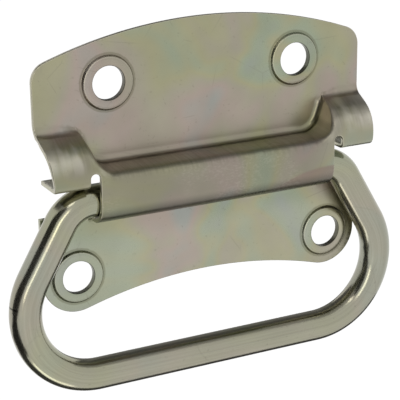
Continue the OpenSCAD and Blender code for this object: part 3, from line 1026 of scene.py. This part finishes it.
# The stage: a plain pale floor well below the handle, which hangs free as on a wall.
# It is matt white board, and it glows a little to the lens and in reflections so that it shows white.
floor_z = -200.0
floor_half = 4000.0
floor_white = (0.9, 0.9, 0.9, 1)
floor_glow = 0.5


def board(name, middle, across, upward):
    """A flat four-cornered board: its middle, and the half sides that lead across and upward from it."""
    middle, across, upward = (np.asarray(v, float) for v in (middle, across, upward))
    square = np.array([middle - across - upward, middle + across - upward,
                       middle + across + upward, middle - across + upward])
    piece = put_in_mesh(name, square, [[0, 1, 2, 3]])
    return piece


def make_matt(shader, roughness):
    """Takes the gloss off a shader."""
    shader.inputs["Roughness"].default_value = roughness
    shader.inputs["Specular IOR Level"].default_value = 0.0


def seen_or_mirrored(tree):
    """One for rays from the lens and for reflected and refracted rays, nought for diffuse ones."""
    path = add_node(tree, "ShaderNodeLightPath").outputs
    seen = calc(tree, "MAXIMUM", path["Is Camera Ray"], path["Is Glossy Ray"])
    return calc(tree, "MAXIMUM", seen, path["Is Transmission Ray"])


floor = board("floor", (0, 0, floor_z), (floor_half, 0, 0), (0, floor_half, 0))
floor_finish, tree, shader = new_material("pale_floor", 0.0)
shader.inputs["Base Color"].default_value = floor_white
make_matt(shader, 0.95)
shader.inputs["Emission Strength"].default_value = 1.0
glow = calc(tree, "MULTIPLY", seen_or_mirrored(tree), floor_glow)
tree.links.new(grey(tree, glow), shader.inputs["Emission Color"])
floor.data.materials.append(floor_finish)

# Five matt cards, above, to the left, below, low at the left and behind, which only reflections see:
# they give the metal its dark bands. The card above pales towards its front edge.
card_depth = (-0.25, 0.2)


def only_mirrored(card):
    """Hides a card from the lens and from all but reflected rays."""
    card.visible_camera = False
    card.visible_diffuse = False
    card.visible_shadow = False
    card.visible_transmission = False


for name, front_tone, back_tone, middle, across, upward in [
    ("card_above", 0.95, 0.25, (150, 400, 500), (750, 0, 0), (0, 650, 0)),
    ("card_left", 0.08, 0.08, (-500, -210, 275), (0, 215, 0), (0, -300, 470)),
    ("card_below", 0.12, 0.12, (40, 60, -195), (190, 0, 0), (0, 65, 0)),
    ("card_corner", 0.06, 0.06, (-325, 60, -195), (175, 0, 0), (0, 130, 0)),
    ("card_behind", 0.42, 0.42, (315, 625, 130), (150, -75, 0), (0, 0, 320)),
]:
    card = board(name, middle, across, upward)
    card_finish, tree, shader = new_material(name, 0.0)
    depth = parted(tree, add_node(tree, "ShaderNodeTexCoord").outputs["Object"])["Y"]
    tone = remap(tree, depth, card_depth, (front_tone, back_tone))
    tree.links.new(grey(tree, tone), shader.inputs["Base Color"])
    make_matt(shader, 1.0)
    card.data.materials.append(card_finish)
    only_mirrored(card)

# Two small bright cards, also seen only in reflections. The one under the left glints in the lower bend
# and on the right arm, the one above the left on the rims of the seats and in the upper bend.
glint_white = (1.0, 0.97, 0.9, 1)
for name, strength, middle, across, upward in [
    ("card_glint", 2.2, (-75, -30, -194), (45, 0, 0), (0, 16, 0)),
    ("card_glint_above", 3.0, (-230, -325, 450), (-49, 35, 0), (26, 37, 40)),
]:
    glint = board(name, middle, across, upward)
    glint_finish, tree, shader = new_material(name, 0.0)
    shader.inputs["Emission Color"].default_value = glint_white
    shader.inputs["Emission Strength"].default_value = strength
    glint.data.materials.append(glint_finish)
    only_mirrored(glint)

# A soft slanting strip light stands at the front left and is turned to the handle.
# A white surround lights the scene evenly, and shows brighter to the lens and in reflections.
strip_at = np.array([-441.0, -624.0, 127.0])
strip_to = np.array([0.0, 0.0, -35.0])
strip_along = np.array([190.0, -240.0, 380.0])
strip_away = (strip_at - strip_to) / np.linalg.norm(strip_at - strip_to)
strip_side = np.cross(strip_along, strip_away)
strip_side /= np.linalg.norm(strip_side)
surround_strength = (0.6, 1.0)


def aim(thing, right, up, away, at):
    """Puts a light or camera at a place, facing opposite to away, with its right and up sides given."""
    pose = np.eye(4)
    pose[:3, :3] = np.stack([right, up, away], -1)
    pose[:3, 3] = at * MM
    thing.matrix_world = Matrix(pose.tolist())
    bpy.context.scene.collection.objects.link(thing)


strip = bpy.data.objects.new("strip_light", bpy.data.lights.new("strip_light", "AREA"))
strip.data.shape = "RECTANGLE"
strip.data.size = 0.12
strip.data.size_y = 0.6
strip.data.energy = 0.675
strip.data.color = (1.0, 0.96, 0.82)
aim(strip, strip_side, np.cross(strip_away, strip_side), strip_away, strip_at)

world = bpy.data.worlds.new("white_studio")
world.use_nodes = True
bpy.context.scene.world = world
tree = world.node_tree
surround = tree.nodes["Background"]
surround.inputs["Color"].default_value = (1, 1, 1, 1)
strength = remap(tree, seen_or_mirrored(tree), (0.0, 1.0), surround_strength)
tree.links.new(strength, surround.inputs["Strength"])

# The camera stands where the photograph was taken from: front left, above, with a long lens.
# Its place, turn and lens come from a fit to the screw holes and their seats.
camera_at = np.array([-156.6, -308.6, 80.9])
camera_yaw = np.radians(26.79)
camera_pitch = np.radians(18.31)
camera_roll = np.radians(-0.77)
camera_lens = 130.65
ahead = np.array([np.sin(camera_yaw) * np.cos(camera_pitch),
                  np.cos(camera_yaw) * np.cos(camera_pitch),
                  -np.sin(camera_pitch)])
level = np.array([np.cos(camera_yaw), -np.sin(camera_yaw), 0])
upright = np.cross(level, ahead)
right = np.cos(camera_roll) * level + np.sin(camera_roll) * upright
up = np.cos(camera_roll) * upright - np.sin(camera_roll) * level
camera = bpy.data.objects.new("camera", bpy.data.cameras.new("camera"))
camera.data.sensor_width = 36.0
camera.data.lens = camera_lens
aim(camera, right, up, -ahead, camera_at)
bpy.context.scene.camera = camera
bpy.context.scene.view_settings.view_transform = "Standard"
